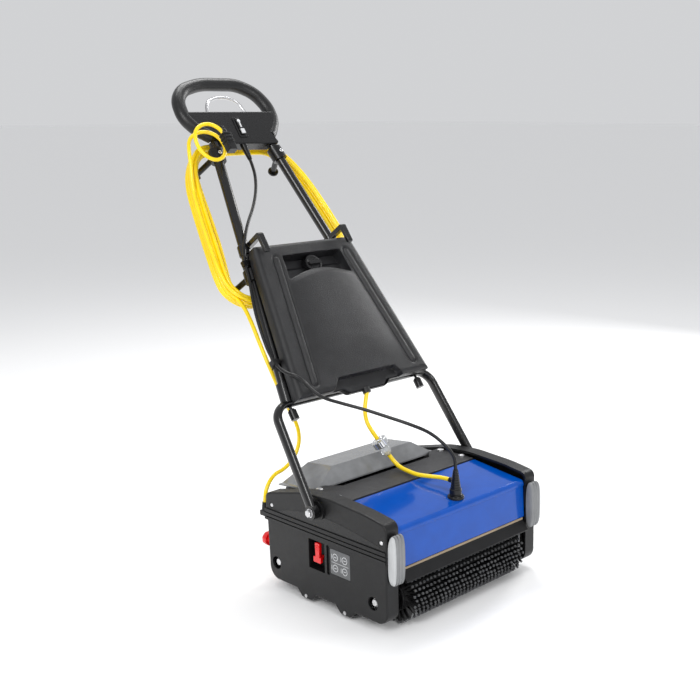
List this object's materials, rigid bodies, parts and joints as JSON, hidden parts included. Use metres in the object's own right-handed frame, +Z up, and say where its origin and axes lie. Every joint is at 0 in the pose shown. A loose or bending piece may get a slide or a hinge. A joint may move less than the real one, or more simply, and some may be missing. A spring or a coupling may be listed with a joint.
{
  "type": "wet dry floor scrubber",
  "caption": "Walk-behind floor scrubber with roller brushes under a moulded head, and a leaning handle that carries a water tank, a grip loop and a hung-up mains cord.",
  "frame": {"origin": "on the floor under the middle of the machine's box, the free cord left out", "axes": "+Z up, -Y towards the machine's front, +X to the right of someone who faces that front"},
  "size_m": [0.496, 0.8095, 1.0455],
  "materials": {
    "black_plastic": "fine texture",
    "grey_plastic": "coarse texture",
    "blue_cover": "high gloss",
    "black_paint": "semi-gloss powder coat",
    "steel": "bright",
    "grey_rubber": "matt",
    "black_rubber": "matt",
    "bristle": "stiff tufts",
    "red_plastic": "gloss",
    "yellow_cord": "smooth",
    "clear_plastic": "clear moulding"
  },
  "bodies": {
    "head": {"side_panel_left": "black_plastic", "side_panel_right": "black_plastic", "side_cap_left": "black_plastic", "side_cap_right": "black_plastic", "frame_plate_left": "steel", "frame_plate_right": "steel", "bumper_left": "grey_rubber", "bumper_right": "grey_rubber", "motor_cover": "blue_cover", "deck_plate": "grey_plastic", "front_skirt": "black_plastic", "rear_skirt": "black_plastic", "cross_beams": "steel", "drive_unit": "black_paint", "axle_bearings": "steel", "spray_bar": "black_plastic", "lead_connector": "black_plastic", "hose_inlet": "black_plastic", "mains_gland": "black_plastic", "cover_screws": "steel", "inline_filter": "clear_plastic", "front_belt": "black_rubber", "rear_belt": "black_rubber", "pivot_bolts": "steel"},
    "front_brush": {"front_brush_core": "black_plastic", "front_bristles": "bristle", "front_axle": "steel"},
    "rear_brush": {"rear_brush_core": "black_plastic", "rear_bristles": "bristle", "rear_axle": "steel"},
    "drum": {"pickup_drum": "steel"},
    "front_output": {"front_output_pulley": "steel"},
    "rear_output": {"rear_output_pulley": "steel"},
    "front_wheel_set": {"front_wheels": "grey_rubber"},
    "rear_wheel_set": {"rear_wheels": "grey_rubber"},
    "selector": {"selector_lever": "red_plastic"},
    "knob": {"wheel_knob": "red_plastic"},
    "recovery": {"recovery_tank": "black_plastic", "drum_scraper": "black_rubber"},
    "lid": {"recovery_lid": "grey_plastic"},
    "handle": {"yoke": "black_paint", "tube_left": "black_paint", "tube_right": "black_paint", "solution_tank": "black_plastic", "tank_hooks": "black_paint", "cord_hooks": "black_plastic", "cable_clips": "black_plastic", "grip_loop": "black_rubber", "grip_panel": "black_plastic", "lead_relief": "black_plastic", "power_plug": "black_plastic", "switch_lead": "black_rubber", "solution_hose": "yellow_cord", "power_cord": "yellow_cord", "cord_coil": "yellow_cord"},
    "cap": {"filler_cap": "black_plastic"},
    "left_clamp": {"clamp_knob_left": "black_plastic"},
    "right_clamp": {"clamp_knob_right": "black_plastic"},
    "bail_lever": {"bail": "steel"},
    "button": {"safety_button": "black_plastic"}
  },
  "joints": [
    {"name": "rear_brush_spin", "type": "hinge", "parent": "head", "child": "rear_brush", "pos_m": [0, -0.05859, 0.058], "axis": [1, 0, 0], "continuous": true},
    {"name": "front_brush_spin", "type": "hinge", "parent": "head", "child": "front_brush", "pos_m": [0, -0.34859, 0.058], "axis": [1, 0, 0], "continuous": true},
    {"name": "drum_spin", "type": "hinge", "parent": "head", "child": "drum", "pos_m": [0, -0.20359, 0.09], "axis": [1, 0, 0], "continuous": true},
    {"name": "rear_output_spin", "type": "hinge", "parent": "head", "child": "rear_output", "pos_m": [0, -0.29359, 0.156], "axis": [1, 0, 0], "continuous": true},
    {"name": "front_output_spin", "type": "hinge", "parent": "head", "child": "front_output", "pos_m": [0, -0.33359, 0.164], "axis": [1, 0, 0], "continuous": true},
    {"name": "front_wheel_spin", "type": "hinge", "parent": "head", "child": "front_wheel_set", "pos_m": [0, -0.26759, 0.0126], "axis": [1, 0, 0], "continuous": true},
    {"name": "rear_wheel_spin", "type": "hinge", "parent": "head", "child": "rear_wheel_set", "pos_m": [0, -0.15059, 0.0126], "axis": [1, 0, 0], "continuous": true},
    {"name": "selector_turn", "type": "hinge", "parent": "head", "child": "selector", "pos_m": [-0.21, -0.18709, 0.102], "axis": [1, 0, 0], "range_deg": [-18, 18]},
    {"name": "knob_turn", "type": "hinge", "parent": "head", "child": "knob", "pos_m": [-0.196, -0.02759, 0.09], "axis": [0, 1, 0], "continuous": true},
    {"name": "recovery_slide", "type": "slide", "parent": "head", "child": "recovery", "axis": [0, 1, 0], "range_m": [0, 0.16]},
    {"name": "lid_hinge", "type": "hinge", "parent": "recovery", "child": "lid", "pos_m": [0, -0.02159, 0.208], "axis": [-1, 0, 0], "range_deg": [0, 60]},
    {"name": "handle_tilt", "type": "hinge", "parent": "head", "child": "handle", "pos_m": [0, -0.19559, 0.207], "axis": [1, 0, 0], "range_deg": [-33, 35], "deforming": ["switch_lead", "solution_hose", "power_cord"]},
    {"name": "cap_turn", "type": "hinge", "parent": "handle", "child": "cap", "pos_m": [0.004, 0.06158, 0.64981], "axis": [0, 0.8161, -0.5779], "continuous": true},
    {"name": "left_clamp_turn", "type": "hinge", "parent": "handle", "child": "left_clamp", "pos_m": [-0.1795, -0.08002, 0.37023], "axis": [0, 0.5779, 0.8161], "continuous": true},
    {"name": "right_clamp_turn", "type": "hinge", "parent": "handle", "child": "right_clamp", "pos_m": [0.1795, -0.08002, 0.37023], "axis": [0, 0.5779, 0.8161], "continuous": true},
    {"name": "bail_pull", "type": "hinge", "parent": "handle", "child": "bail_lever", "pos_m": [-0.006, 0.33257, 0.95295], "axis": [1, 0, 0], "range_deg": [0, 15], "stiffness_Nm_per_rad": 1.2, "springref_deg": -17.19},
    {"name": "button_press", "type": "slide", "parent": "handle", "child": "button", "axis": [0, 0.8161, -0.5779], "range_m": [0, 0.003], "stiffness_N_per_m": 400, "springref_m": -0.002}
  ],
  "couplings": [
    {"joint": "front_brush_spin", "follows": "rear_brush_spin", "ratio": -1},
    {"joint": "drum_spin", "follows": "rear_brush_spin", "ratio": 0.5},
    {"joint": "rear_output_spin", "follows": "rear_brush_spin", "ratio": 1.25},
    {"joint": "front_output_spin", "follows": "rear_brush_spin", "ratio": -2.1667}
  ]
}
